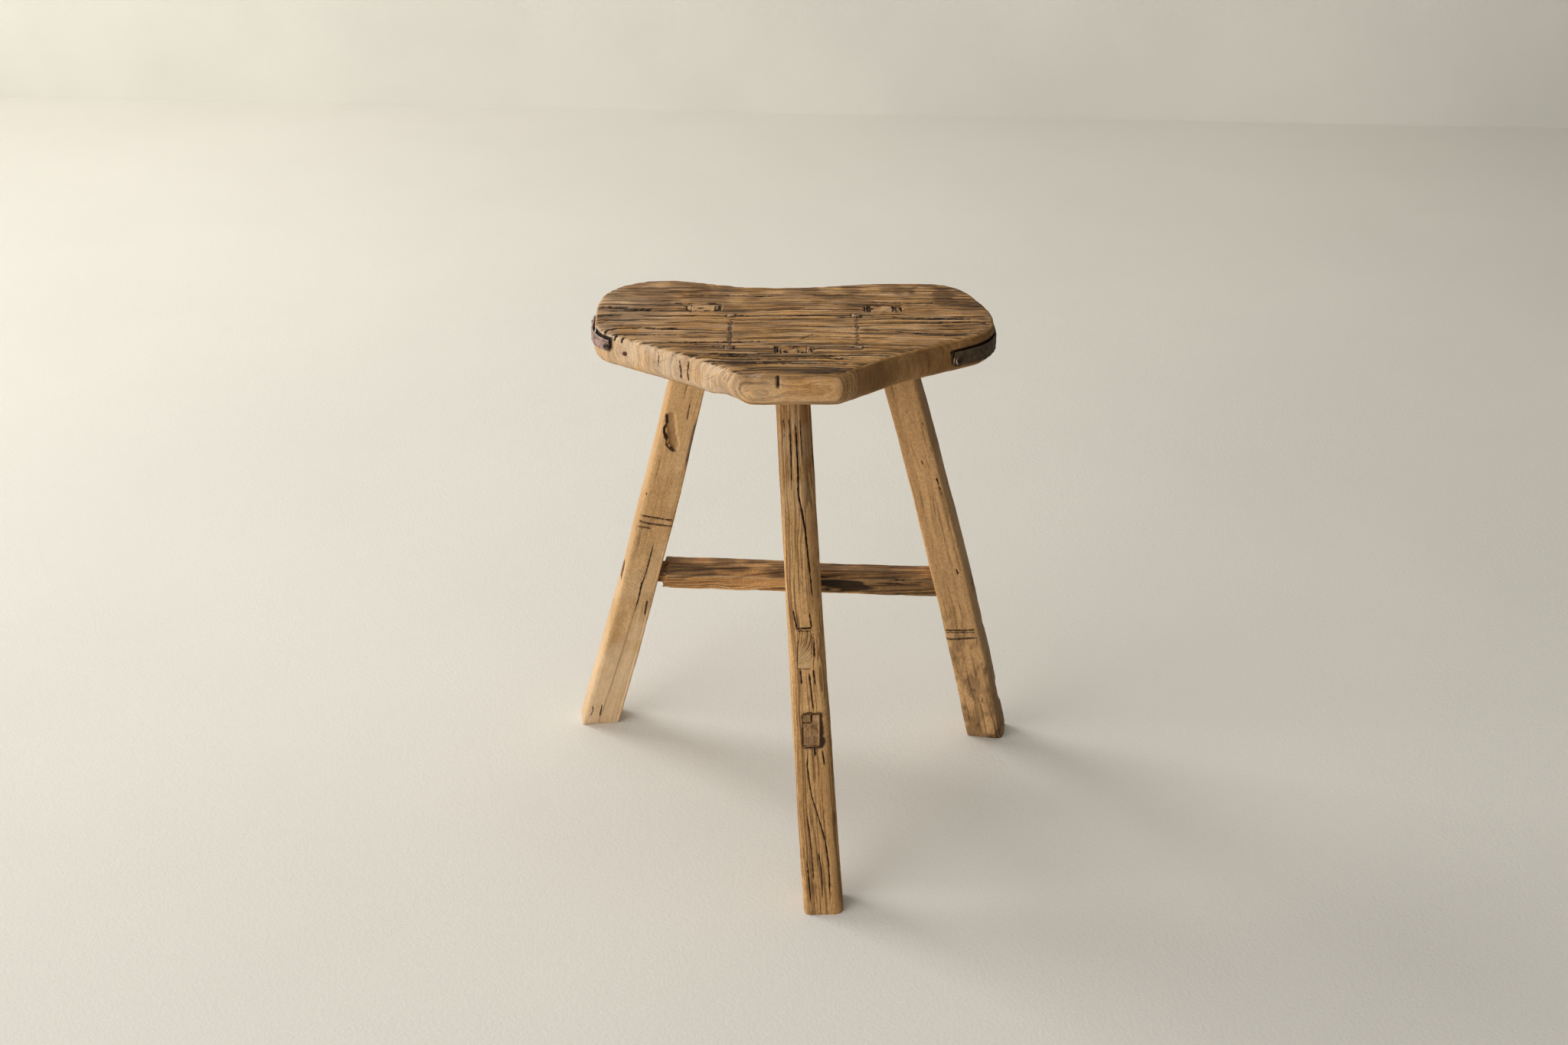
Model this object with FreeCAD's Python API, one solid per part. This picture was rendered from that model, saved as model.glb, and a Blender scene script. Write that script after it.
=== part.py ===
"""Three-legged wooden milking stool, hand-made: a thick boomerang-shaped plank seat, three splayed legs
whose wedged tenons come up through the seat, a stretcher between the rear legs and a centre stretcher
from the front leg to it. Two iron staples and two nailed iron bands hold old cracks in the seat.
Millimetres, +Z up, -Y is the front (the seat's nose), +X the sitter's left when facing the front.
The origin is on the floor at the centre of the stool's bounding box."""

import FreeCAD
import Part

import math
import os

V = FreeCAD.Vector
UP = V(0, 0, 1)
tolerance = 1e-6

# ---- seat ----
height = 500.0
seat_thickness = 32.0
seat_top_edge_radius = 5.0
seat_bottom_edge_radius = 8.0
underside = height - seat_thickness
# The plan of the seat as (x, y, corner radius), anticlockwise from the nose's right corner.
seat_plan = [
    (41.0, -103.5, 13.0),
    (91.0, -61.0, 90.0),
    (186.0, -2.5, 46.0),
    (185.5, 51.0, 100.0),
    (156.0, 120.5, 48.0),
    (72.0, 119.5, 80.0),
    (10.0, 107.5, 200.0),
    (-55.0, 112.8, 90.0),
    (-118.0, 130.5, 44.0),
    (-183.5, 126.0, 62.0),
    (-184.5, 1.0, 42.0),
    (-86.0, -67.5, 90.0),
    (-48.0, -103.5, 13.0),
]

# ---- legs: each axis runs from the tenon's centre in the seat's top to the foot's centre ----
tenon_recess = 0.6
tenon_thickness = 16.0
tenon_shoulder = 1.0
wedge_thickness = 5.0
wedge_depth = 24.0
wedge_tip = 1.2
legs = {
    "front": {
        "top": (-2.4, -47.4),
        "foot": (28.9, -194.0),
        "foot_size": (35.0, 33.0),
        "shoulder_size": (28.5, 28.0),
        "bow": (-1.0, 0.0),
        "turn": 2.0,
        "tenon_shift": 2.6,
        "tenon_length": 33.5,
        "radii": (6.0, 9.0, 4.0, 4.0),
    },
    "rear_left": {
        "top": (-83.0, 55.5),
        "foot": (-206.0, 137.0),
        "foot_size": (37.0, 32.5),
        "shoulder_size": (31.5, 27.5),
        "bow": (3.5, 0.0),
        "turn": 7.5,
        "tenon_shift": 0.0,
        "tenon_length": 32.0,
        "radii": (2.5, 2.5, 4.0, 3.0),
    },
    "rear_right": {
        "top": (83.5, 52.6),
        "foot": (206.0, 110.0),
        "foot_size": (37.0, 33.0),
        "shoulder_size": (31.5, 28.0),
        "bow": (3.5, 0.0),
        "turn": -11.0,
        "tenon_shift": 0.0,
        "tenon_length": 34.0,
        "radii": (2.5, 6.0, 4.0, 3.0),
    },
}

# ---- stretchers ----
rear_stretcher_heights = (192.5, 189.0)
rear_stretcher_sections = [(24.5, 26.5), (22.5, 25.5), (20.5, 24.5)]
rear_stretcher_radii = (3.0, 3.0, 3.0, 3.0)
rear_stretcher_rise = -0.5
rear_stretcher_set_back = 2.0
rear_tenon_section = (12.0, 19.0)
left_shoulder_gap = 8.0
centre_front = V(11.0, -113.0, 236.8)
centre_rear_height = 191.0
centre_rear_x = 12.0
centre_front_section = (21.0, 36.0)
centre_rear_section = (18.0, 21.0)
centre_front_tenon = (13.5, 35.0)
centre_rear_tenon = (10.0, 15.0)
centre_radii = (3.0, 3.0, 3.0, 3.0)
edge_break = 0.4
overrun = 50.0  # how far a tenon's or a plug's blank runs past its joint before it is trimmed

# ---- the old mortise in the front leg, filled with a plug and a small wedge ----
plug_height = 166.0
plug_offset = -2.2
plug_size = (16.0, 30.0)
plug_depth = 21.0
plug_wedge_size = (9.0, 8.0)
plug_wedge_depth = 12.0

# ---- iron ----
staple_x = (-57.5, 58.0)
staple_y = (-42.5, 34.0)
staple_bar = 2.0
staple_head = (7.0, 4.5)
staple_head_thickness = 2.4
staple_sink = 0.2
staple_prong = 3.0
staple_prong_tip = 1.0
staple_prong_depth = 19.0
band_thickness = 1.8
nail_radius = 1.6
nail_head_radius = 3.4
edge_nail_head_radius = 2.2
nail_head_thickness = 1.6
nail_head_rounding = 1.1
nail_depth = 20.0
bands = {
    "left": {"z": (483.0, 494.0), "clip": (-200.0, -167.5, -20.0, 50.0)},
    "right": {"z": (474.5, 488.5), "clip": (146.0, 200.0, -60.0, 58.0)},
}
nails = {
    "band_nail_left_front": V(-170.5, -12.0, 487.5),
    "band_nail_left_rear": V(-186.0, 44.0, 488.5),
    "band_nail_right_front": V(150.0, -26.0, 480.5),
    "band_nail_right_rear": V(188.0, 52.0, 481.5),
    "edge_nail": V(-153.0, -21.3, 484.8),
}


def rounded_wire(corners, z):
    """A closed wire at height z from (x, y, radius) corners: straight runs joined by tangent arcs."""
    points = [V(x, y, z) for x, y, _ in corners]
    joints = []
    for i, (_, _, radius) in enumerate(corners):
        here = points[i]
        back = (points[i - 1] - here).normalize()
        on = (points[(i + 1) % len(points)] - here).normalize()
        half = back.getAngle(on) / 2
        reach = radius / math.tan(half)
        middle = (back + on).normalize() * (radius / math.sin(half) - radius)
        joints.append((here + back * reach, here + middle, here + on * reach))
    edges = []
    for i, (start, middle, end) in enumerate(joints):
        edges.append(Part.Arc(start, middle, end).toShape())
        edges.append(Part.LineSegment(end, joints[(i + 1) % len(joints)][0]).toShape())
    return Part.Wire(edges)


def section_wire(centre, size, turn, radii, z):
    """A horizontal rounded rectangle about centre (x, y), turned by turn degrees. The radii go front
    left, front right, back right, back left."""
    a = math.radians(turn)
    corners = []
    for (sx, sy), radius in zip(((-1, -1), (1, -1), (1, 1), (-1, 1)), radii):
        x = sx * size[0] / 2
        y = sy * size[1] / 2
        corners.append(
            (
                centre[0] + x * math.cos(a) - y * math.sin(a),
                centre[1] + x * math.sin(a) + y * math.cos(a),
                radius,
            )
        )
    return rounded_wire(corners, z)


def axis_point(leg, z):
    """The point of a leg's straight axis at height z."""
    share = 1 - z / height
    x = leg["top"][0] + (leg["foot"][0] - leg["top"][0]) * share
    y = leg["top"][1] + (leg["foot"][1] - leg["top"][1]) * share
    return V(x, y, z)


def biggest(shape):
    """The largest solid of a shape."""
    return max(shape.Solids, key=lambda s: s.Volume)


def leg_blank(leg):
    """A leg below the seat, before its mortises: a tapering, slightly bowed post with a level foot."""
    wires = []
    for share, bow in ((0.0, 0.0), (0.5, 1.0), (1.0, 0.0)):
        z = underside * share
        at = axis_point(leg, z)
        centre = (at.x + leg["bow"][0] * bow, at.y + leg["bow"][1] * bow)
        size = [f + (s - f) * share for f, s in zip(leg["foot_size"], leg["shoulder_size"])]
        wires.append(section_wire(centre, size, leg["turn"], leg["radii"], z))
    return Part.makeLoft(wires, True, False)


def box_between(low, high, section_low, section_high):
    """A straight ruled block between two horizontal rectangles centred on two points."""
    wires = []
    for at, (w, d) in ((low, section_low), (high, section_high)):
        corners = []
        for side, depth in ((-1, -1), (1, -1), (1, 1), (-1, 1)):
            corners.append(at + V(side * w / 2, depth * d / 2, 0))
        wires.append(Part.makePolygon(corners + corners[:1]))
    return Part.makeLoft(wires, True, True)


def tenon_at(leg, z):
    """The centre and the length of a leg's tenon at height z: its wedges spread it towards the top."""
    rise = (z - underside) / seat_thickness
    low = leg["shoulder_size"][0] - 2 * tenon_shoulder
    centre = axis_point(leg, z) + V(leg["tenon_shift"] * rise, 0, 0)
    return centre, low + (leg["tenon_length"] - low) * rise


def leg_tenon(leg, top):
    """The whole space that a leg's tenon and its wedges fill in the seat, up to a height."""
    low_at, low_length = tenon_at(leg, underside)
    top_at, top_length = tenon_at(leg, top)
    return box_between(low_at, top_at, (low_length, tenon_thickness), (top_length, tenon_thickness))


def tenon_wedges(leg):
    """The two wedges driven down into the ends of a leg's tenon from the seat's top."""
    top = height - tenon_recess
    found = []
    for side in (-1, 1):
        ends = []
        for z, thickness in ((top - wedge_depth, wedge_tip), (top, wedge_thickness)):
            at, length = tenon_at(leg, z)
            ends.append(at + V(side * (length - thickness) / 2, 0, 0))
        sizes = [(t, tenon_thickness) for t in (wedge_tip, wedge_thickness)]
        found.append(box_between(*ends, *sizes))
    return found


def bar(points, sections, radii=(edge_break,) * 4):
    """A bar lofted through points, with upright (width, height) sections square to its run."""
    run = (points[-1] - points[0]).normalize()
    side = run.cross(UP).normalize()
    upward = side.cross(run).normalize()
    wires = []
    for at, (w, h) in zip(points, sections):
        corners = []
        for i, (a, b) in enumerate(((-1, -1), (1, -1), (1, 1), (-1, 1))):
            corners.append((a * w / 2, b * h / 2, radii[i]))
        flat = rounded_wire(corners, 0)
        place = FreeCAD.Placement(at, FreeCAD.Rotation(side, upward, run * -1, "ZXY"))
        wires.append(flat.transformed(place.toMatrix()))
    return Part.makeLoft(wires, True, len(points) < 3)


def seat_blank():
    """The seat's plank with its worn edges, before its mortises."""
    plank = Part.Face(rounded_wire(seat_plan, underside)).extrude(V(0, 0, seat_thickness))
    for z, radius in ((height, seat_top_edge_radius), (underside, seat_bottom_edge_radius)):
        rim = [e for e in plank.Edges if all(abs(v.Z - z) < tolerance for v in e.Vertexes)]
        plank = plank.makeFillet(radius, rim)
    return plank


def staple(x):
    """A crack staple: a flat bar across the grain, with a beaten head and a tapering prong at each end."""
    y0, y1 = staple_y
    w, d = staple_head
    bar_low = V(x - staple_bar / 2, y0, height - staple_sink - staple_bar)
    whole = Part.makeBox(staple_bar, y1 - y0, staple_bar, bar_low)
    for y in (y0, y1):
        head_low = V(x - w / 2, y - d / 2, height - staple_head_thickness)
        head = Part.makeBox(w, d, staple_head_thickness, head_low)
        tip = V(x, y, height - staple_prong_depth)
        root = V(x, y, height - staple_head_thickness / 2)
        prong = box_between(tip, root, [staple_prong_tip] * 2, [staple_prong] * 2)
        whole = whole.fuse([head, prong])
    return whole.removeSplitter()


def nearest(wire, point):
    """The point of a wire nearest to a point."""
    return wire.distToShape(Part.Vertex(point))[1][0][0]


def outline_at(offset, z):
    """The seat's outline at height z, moved outwards by offset."""
    wire = rounded_wire(seat_plan, z)
    return wire.makeOffset2D(offset) if offset else wire


def band(side):
    """An iron band bent round one end of the seat."""
    low, high = bands[side]["z"]
    x0, x1, y0, y1 = bands[side]["clip"]
    ring = Part.Face(outline_at(band_thickness, low)).cut(Part.Face(outline_at(0, low)))
    clip = Part.makeBox(x1 - x0, y1 - y0, height, V(x0, y0, 0))
    return biggest(ring.extrude(V(0, 0, high - low)).common(clip))


def nail(near, lift, head_radius):
    """A nail square to the seat's edge: a tapering shank, and a domed head that stands off by lift."""
    inner = nearest(outline_at(0, near.z), near)
    outer = nearest(outline_at(head_radius, near.z), inner)
    out = (outer - inner).normalize()
    seat_of_head = inner + out * lift
    shank = Part.makeCone(nail_radius, nail_radius / 3, nail_depth + lift, seat_of_head, out * -1)
    head = Part.makeCylinder(head_radius, nail_head_thickness, seat_of_head, out)
    circles = [e for e in head.Edges if isinstance(e.Curve, Part.Circle)]
    rim = [e for e in circles if (e.CenterOfMass - seat_of_head).Length > nail_head_thickness / 2]
    head = head.makeFillet(nail_head_rounding, rim)
    return head.fuse(shank).removeSplitter()


def build_rear_stretcher(blanks):
    """The stretcher from rear leg to rear leg, with a through tenon at each end. Its left shoulder
    stands off the leg."""
    set_back = V(0, rear_stretcher_set_back, 0)
    left = axis_point(legs["rear_left"], rear_stretcher_heights[0]) + set_back
    right = axis_point(legs["rear_right"], rear_stretcher_heights[1]) + set_back
    middle = (left + right) * 0.5 + V(0, 0, rear_stretcher_rise)
    run = (right - left).normalize()
    left_space = blanks["rear_left"].translated(V(left_shoulder_gap, 0, 0))
    body = bar([left, middle, right], rear_stretcher_sections, rear_stretcher_radii)
    body = biggest(body.cut([blanks["rear_left"], left_space, blanks["rear_right"]]))
    tenon_bar = bar([left - run * overrun, right + run * overrun], [rear_tenon_section] * 2)
    neck = tenon_bar.common(left_space.fuse(body)).cut(blanks["rear_left"])
    tenons = [tenon_bar.common(blanks[name]) for name in ("rear_left", "rear_right")]
    share = (centre_rear_x - left.x) / (right.x - left.x)
    meeting = V(centre_rear_x, left.y + (right.y - left.y) * share, centre_rear_height)
    return body.fuse([neck, *tenons]).removeSplitter(), meeting


def build_centre_stretcher(front_blank, rear_stretcher, meeting):
    """The stretcher from the front leg down to the rear stretcher, with a through tenon in each."""
    run = (meeting - centre_front).normalize()
    body = bar([centre_front, meeting], [centre_front_section, centre_rear_section], centre_radii)
    body = biggest(body.cut([front_blank, rear_stretcher]))
    tenons = []
    for at, section, mortised in (
        (centre_front, centre_front_tenon, front_blank),
        (meeting, centre_rear_tenon, rear_stretcher),
    ):
        tenons.append(bar([at - run * overrun, at + run * overrun], [section] * 2).common(mortised))
    return body.fuse(tenons).removeSplitter()


def build_plug(front_blank):
    """The plug of the old mortise in the front leg, and the small wedge set in its upper left corner."""
    leg = legs["front"]
    at = axis_point(leg, plug_height) + V(plug_offset, 0, 0)
    leg_run = (axis_point(leg, height) - axis_point(leg, 0)).normalize()
    into = V(0, leg_run.z, -leg_run.y).normalize()
    face = leg["foot_size"][1] / 2
    corner = V(-(plug_size[0] - plug_wedge_size[0]) / 2, 0, 0)
    corner += leg_run * ((plug_size[1] - plug_wedge_size[1]) / 2)
    start = at - into * overrun
    plug_bar = bar([start, at + into * (plug_depth - face)], [plug_size] * 2)
    wedge_end = at + corner + into * (plug_wedge_depth - face)
    wedge_bar = bar([start + corner, wedge_end], [plug_wedge_size] * 2)
    plug = plug_bar.common(front_blank)
    wedge = wedge_bar.common(plug)
    return plug.cut(wedge), wedge


def build_iron():
    """The staples, the two end bands and every nail."""
    iron = {}
    for side, x in zip(("left", "right"), staple_x):
        iron["crack_staple_" + side] = staple(x)
    for name, near in nails.items():
        if "band" in name:
            iron[name] = nail(near, band_thickness, nail_head_radius)
        else:
            iron[name] = nail(near, 0.0, edge_nail_head_radius)
    for side in bands:
        fixings = [iron[name] for name in nails if side in name]
        iron["end_band_" + side] = band(side).cut(fixings)
    return iron


def build():
    """Every piece of the stool by name."""
    blanks = {name: leg_blank(leg) for name, leg in legs.items()}
    rear_stretcher, meeting = build_rear_stretcher(blanks)
    centre_stretcher = build_centre_stretcher(blanks["front"], rear_stretcher, meeting)
    plug, plug_wedge = build_plug(blanks["front"])
    shapes = build_iron()
    in_seat = [shapes[name] for name in shapes if "band_" not in name or "nail" in name]
    shapes["mortise_plug"] = plug
    shapes["mortise_plug_wedge"] = plug_wedge
    shapes["centre_stretcher"] = centre_stretcher
    shapes["rear_stretcher"] = rear_stretcher.cut(centre_stretcher)
    in_leg = {
        "front": [centre_stretcher, plug, plug_wedge],
        "rear_left": [rear_stretcher],
        "rear_right": [rear_stretcher],
    }
    for name, leg in legs.items():
        wedges = tenon_wedges(leg)
        tenon = leg_tenon(leg, height - tenon_recess).cut(wedges)
        whole = blanks[name].fuse(tenon).removeSplitter()
        shapes[name + "_leg"] = biggest(whole.cut(in_leg[name]))
        for side, wedge in zip(("left", "right"), wedges):
            shapes[f"{name}_tenon_wedge_{side}"] = wedge
    mortises = [leg_tenon(leg, height) for leg in legs.values()]
    shapes["seat"] = biggest(seat_blank().cut(mortises + in_seat))
    return shapes


def main():
    """Write every piece with the floor at zero and the bounding box centred on the Z axis."""
    shapes = build()
    box = FreeCAD.BoundBox()
    for shape in shapes.values():
        box.add(shape.BoundBox)
    home = V(-box.Center.x, -box.Center.y, -box.ZMin)
    print("moved by", home, "overall", box.XLength, box.YLength, box.ZLength)
    os.makedirs("parts", exist_ok=True)
    for name, shape in sorted(shapes.items()):
        placed = shape.translated(home)
        placed.exportStep(f"parts/{name}.step")
        print(name, "solids", len(placed.Solids), "cm3", round(placed.Volume / 1000, 2))


main()
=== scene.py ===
"""The looks of the wooden milking stool. Every wooden piece is the CAD node's solid rebuilt from even
voxels, then carved: grain grooves that follow growth rings, worn edges, cracks, scribed lines and dents.
Lengths are in millimetres until a mesh is written, and the frame is the CAD's: +Z up, -Y the front."""

import math

import bmesh
import bpy
import numpy as np
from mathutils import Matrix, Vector


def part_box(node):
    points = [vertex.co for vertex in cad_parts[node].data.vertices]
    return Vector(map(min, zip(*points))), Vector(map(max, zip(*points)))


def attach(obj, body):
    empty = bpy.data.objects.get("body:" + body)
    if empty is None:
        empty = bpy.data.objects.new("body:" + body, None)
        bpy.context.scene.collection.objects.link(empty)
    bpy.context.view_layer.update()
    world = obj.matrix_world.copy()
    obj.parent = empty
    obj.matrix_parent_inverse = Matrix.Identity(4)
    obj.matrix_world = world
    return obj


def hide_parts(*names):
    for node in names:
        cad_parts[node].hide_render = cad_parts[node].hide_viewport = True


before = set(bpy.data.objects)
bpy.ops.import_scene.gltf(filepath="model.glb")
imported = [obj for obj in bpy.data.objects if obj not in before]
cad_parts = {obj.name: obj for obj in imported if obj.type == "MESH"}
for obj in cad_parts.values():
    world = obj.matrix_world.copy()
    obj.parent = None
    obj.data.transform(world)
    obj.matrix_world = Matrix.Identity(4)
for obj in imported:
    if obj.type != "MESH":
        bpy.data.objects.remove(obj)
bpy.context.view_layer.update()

MM = 0.001
scene = bpy.context.scene


def box(node):
    """A CAD node's low and high corners, in millimetres."""
    return [np.array(corner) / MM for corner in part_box(node)]


UNDERSIDE, TOP = (corner[2] for corner in box("seat"))

# The voxels that each kind of piece is rebuilt from: their size, and how many sizes long they are each way.
SEAT_VOXEL = (1.1, (2.4, 1, 1))
LEG_VOXEL = (0.85, (1, 1, 2.2))
REAR_STRETCHER_VOXEL = (0.8, (2, 1, 1))
CENTRE_STRETCHER_VOXEL = (0.8, (1, 2, 1))
SMALL_VOXEL = (0.5, (1, 1, 1))
IRON_VOXEL = (0.42, (1, 1, 1))
SMOOTHING = 0.5
# The feet stop this far above the floor.
FLOOR_GAP = 0.05
# A mark drawn on the top from above reaches this far below it.
FLAT_DEPTH = 4.0
# The mesh is made finer this far beyond a mark's width.
FINE_MARGIN = 1.2
# The share of a mark's length over which each end fades.
FADE = 0.12


# ---- noise


def lattice(cell, seed):
    """A fixed pseudo-random number from -1 to 1 for each whole-numbered point of space."""
    x, y, z = cell.T
    h = (x * 374761393 + y * 668265263 + z * 1274126177 + seed * 974634777) & 0xFFFFFFFF
    h = ((h ^ (h >> 13)) * 1103515245) & 0xFFFFFFFF
    h = ((h ^ (h >> 16)) * 668265263) & 0xFFFFFFFF
    return ((h ^ (h >> 15)) & 0xFFFF) / 32767.5 - 1.0


def noise(p, seed=0):
    """Smooth noise from -1 to 1 at an array of points, one cell to each unit."""
    cell = np.floor(p).astype(np.int64)
    f = p - cell
    f = f * f * f * (f * (f * 6 - 15) + 10)
    total = np.zeros(len(p))
    for corner in np.ndindex(2, 2, 2):
        weight = np.prod(np.where(corner, f, 1 - f), axis=1)
        total += weight * lattice(cell + corner, seed)
    return total


def rough(p, size, seed, octaves=3):
    """Noise with finer layers over it. size is the width of its largest lumps."""
    total = np.zeros(len(p))
    for k in range(octaves):
        total += noise(p * (2.0**k / size), seed + k) * 0.5**k
    return total


def rise(x, low, high):
    """0 below low, 1 above high and smooth between."""
    t = np.clip((x - low) / (high - low), 0, 1)
    return t * t * (3 - 2 * t)


def fall(x, low, high):
    """1 below low, 0 above high and smooth between."""
    return 1 - rise(x, low, high)


def patchy(p, size, seed, low, high, octaves=3):
    """Soft-edged patches from 0 to 1. A lower low and high give more of them."""
    return rise(rough(p, size, seed, octaves), low, high)


# ---- meshes as arrays


def mesh_points(mesh):
    """A mesh's points, in millimetres."""
    points = np.empty(len(mesh.vertices) * 3)
    mesh.vertices.foreach_get("co", points)
    return points.reshape(-1, 3) / MM


def node_solid(names, voxel):
    """The solid of some CAD nodes, rebuilt from even voxels: its points in millimetres and its triangles."""
    size, lengths = voxel
    joined = bmesh.new()
    for name in names:
        joined.from_mesh(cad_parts[name].data)
    bmesh.ops.remove_doubles(joined, verts=joined.verts, dist=1e-6)
    bmesh.ops.scale(joined, vec=[1 / length for length in lengths], verts=joined.verts)
    source = bpy.data.meshes.new("source")
    joined.to_mesh(source)
    joined.free()
    holder = bpy.data.objects.new("source", source)
    scene.collection.objects.link(holder)
    remesh = holder.modifiers.new("voxels", "REMESH")
    remesh.mode = "VOXEL"
    remesh.voxel_size = size * MM
    graph = bpy.context.evaluated_depsgraph_get()
    made = bpy.data.meshes.new_from_object(holder.evaluated_get(graph))
    made.calc_loop_triangles()
    points = mesh_points(made) * lengths
    tris = np.empty(len(made.loop_triangles) * 3, np.int64)
    made.loop_triangles.foreach_get("vertices", tris)
    bpy.data.objects.remove(holder)
    bpy.data.meshes.remove(source)
    bpy.data.meshes.remove(made)
    return points, tris.reshape(-1, 3)


def normals(points, tris):
    """The unit normal at each point."""
    corner = points[tris]
    face = np.cross(corner[:, 1] - corner[:, 0], corner[:, 2] - corner[:, 0])
    out = np.zeros_like(points)
    for k in range(3):
        for axis in range(3):
            out[:, axis] += np.bincount(tris[:, k], face[:, axis], len(points))
    return out / np.maximum(np.linalg.norm(out, axis=1), 1e-12)[:, None]


def smooth(points, tris, share, rounds):
    """Moves each point a share of the way to the middle of its neighbours, several times."""
    a = tris[:, [0, 1, 2]].ravel()
    b = tris[:, [1, 2, 0]].ravel()
    count = np.bincount(a, minlength=len(points)) + np.bincount(b, minlength=len(points))
    for _ in range(rounds):
        total = np.empty_like(points)
        for axis in range(3):
            total[:, axis] = np.bincount(a, points[b, axis], len(points))
            total[:, axis] += np.bincount(b, points[a, axis], len(points))
        points = points + (total / count[:, None] - points) * share
    return points


def refine(points, tris, near):
    """Halves every edge with a marked end, and splits its triangles to suit, with no gaps."""
    edges = np.sort(tris[:, [0, 1, 1, 2, 2, 0]].reshape(-1, 2), axis=1)
    unique, inverse = np.unique(edges[:, 0] * len(points) + edges[:, 1], return_inverse=True)
    ends = np.stack([unique // len(points), unique % len(points)], axis=1)
    cut = near[ends].any(axis=1)
    middle = np.full(len(unique), -1)
    middle[cut] = len(points) + np.arange(cut.sum())
    points = np.concatenate([points, points[ends[cut]].mean(axis=1)])
    mids = middle[inverse.reshape(-1, 3)]
    pattern = (mids >= 0).sum(axis=1)
    made = [tris[pattern == 0]]
    for turn in range(3):
        # A triangle's corners are 0 to 2, and the middles of its edges 3 to 5.
        order = [turn, (turn + 1) % 3, (turn + 2) % 3]
        six = np.concatenate([tris[:, order], mids[:, order]], axis=1)
        only = six[(pattern == 1) & (six[:, 3] >= 0)]
        two = six[(pattern == 2) & (six[:, 5] < 0)]
        made += [only[:, split] for split in ((0, 3, 2), (3, 1, 2))]
        made += [two[:, split] for split in ((3, 1, 4), (0, 3, 4), (0, 4, 2))]
    full = np.concatenate([tris, mids], axis=1)[pattern == 3]
    made += [full[:, split] for split in ((0, 3, 5), (3, 1, 4), (5, 4, 2), (3, 4, 5))]
    return points, np.concatenate(made)


def line_distance(points, line):
    """How far each point is from a run of straight lines, and how far along it, 0 to 1, it's nearest."""
    line = np.asarray(line, float)
    best = np.full(len(points), 1e9)
    along = np.zeros(len(points))
    spans = np.linalg.norm(np.diff(line, axis=0), axis=1)
    starts = np.concatenate([[0], np.cumsum(spans)])
    for k in range(len(line) - 1):
        ab = line[k + 1] - line[k]
        t = np.clip(((points - line[k]) @ ab) / (ab @ ab), 0, 1)
        d = np.linalg.norm(points - line[k] - t[:, None] * ab, axis=1)
        closer = d < best
        best[closer] = d[closer]
        along[closer] = (starts[k] + t[closer] * spans[k]) / starts[-1]
    return best, along


class Carving:
    """A piece of the stool being carved: its points, triangles and the masks that its material reads."""

    def __init__(self, names, voxel, seed, rounds):
        self.points, self.tris = node_solid(names, voxel)
        self.rounds = rounds
        self.seed = seed
        self.masks = {}

    def near(self, line, reach, flat):
        """The points within reach of a mark's line: which, how far off and how far along it. A flat mark is
        drawn on the top from above, whatever the height of the wood there."""
        line = np.asarray(line, float)
        above = np.array((0, 0, FLAT_DEPTH if flat else 0))
        low = line.min(0) - reach - above
        found = np.nonzero(np.all((self.points > low) & (self.points < line.max(0) + reach), axis=1))[0]
        places = self.points[found]
        if flat:
            places[:, 2] = line[0, 2]
        d, along = line_distance(places, line)
        return found[d < reach], d[d < reach], along[d < reach]

    def prepare(self, marks=()):
        """Smooths the voxels' steps away and makes the mesh finer round the marks."""
        self.points = smooth(self.points, self.tris, SMOOTHING, self.rounds)
        if marks:
            marked = np.zeros(len(self.points), bool)
            for mark in marks:
                reach = mark["width"] + FINE_MARGIN
                marked[self.near(mark["line"], reach, mark.get("flat", False))[0]] = True
            self.points, self.tris = refine(self.points, self.tris, marked)
        self.normals = normals(self.points, self.tris)
        self.sink = np.zeros(len(self.points))
        for name in ("dark", "pale", "stain_and_shade", "calm"):
            self.masks[name] = np.zeros(len(self.points))

    def mask(self, name, amount):
        """Raises a mask to an amount where it's lower."""
        self.masks[name] = np.maximum(self.masks[name], np.clip(amount, 0, 1))

    def mark(self, line, width, depth, dark=1.0, wander=0.35, flat=False):
        """Carves a crack or a scribed line: deepest at its middle, fading out at its ends."""
        found, d, along = self.near(line, width + 1.0, flat)
        if not len(found):
            return
        d = d + wander * noise(self.points[found] / 3.1, self.seed + 41) * width
        ends = rise(along, 0, FADE) * rise(1 - along, 0, FADE)
        local = width * (0.55 + 0.45 * ends)
        valley = fall(d, local * 0.45, local)
        self.sink[found] = np.maximum(self.sink[found], depth * valley * (0.4 + 0.6 * ends))
        # The walls are painted as dark as the floor, which a low view doesn't reach: painted shade in the
        # crack.
        shade = fall(d, local * 0.75, local * 1.15)
        strength = self.masks["dark"][found]
        self.masks["dark"][found] = np.maximum(strength, dark * shade * (0.5 + 0.5 * ends))

    def finish(self, name, node, slot, material, marks=()):
        """Cuts the marks, writes the mesh and puts the piece on the stool in place of its node."""
        for mark in marks:
            self.mark(**mark)
        points = self.points - self.normals * self.sink[:, None]
        points[:, 2] = np.maximum(points[:, 2], FLOOR_GAP)
        mesh = bpy.data.meshes.new(name)
        mesh.from_pydata((points * MM).tolist(), [], self.tris.tolist())
        mesh.polygons.foreach_set("use_smooth", np.ones(len(self.tris), bool))
        for mask, values in self.masks.items():
            kind = "FLOAT_VECTOR" if values.ndim == 2 else "FLOAT"
            field = "vector" if values.ndim == 2 else "value"
            mesh.attributes.new(mask, kind, "POINT").data.foreach_set(field, values.ravel())
        mesh.materials.append(material)
        piece = bpy.data.objects.new(name, mesh)
        scene.collection.objects.link(piece)
        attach(piece, "root")
        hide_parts(node)


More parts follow.
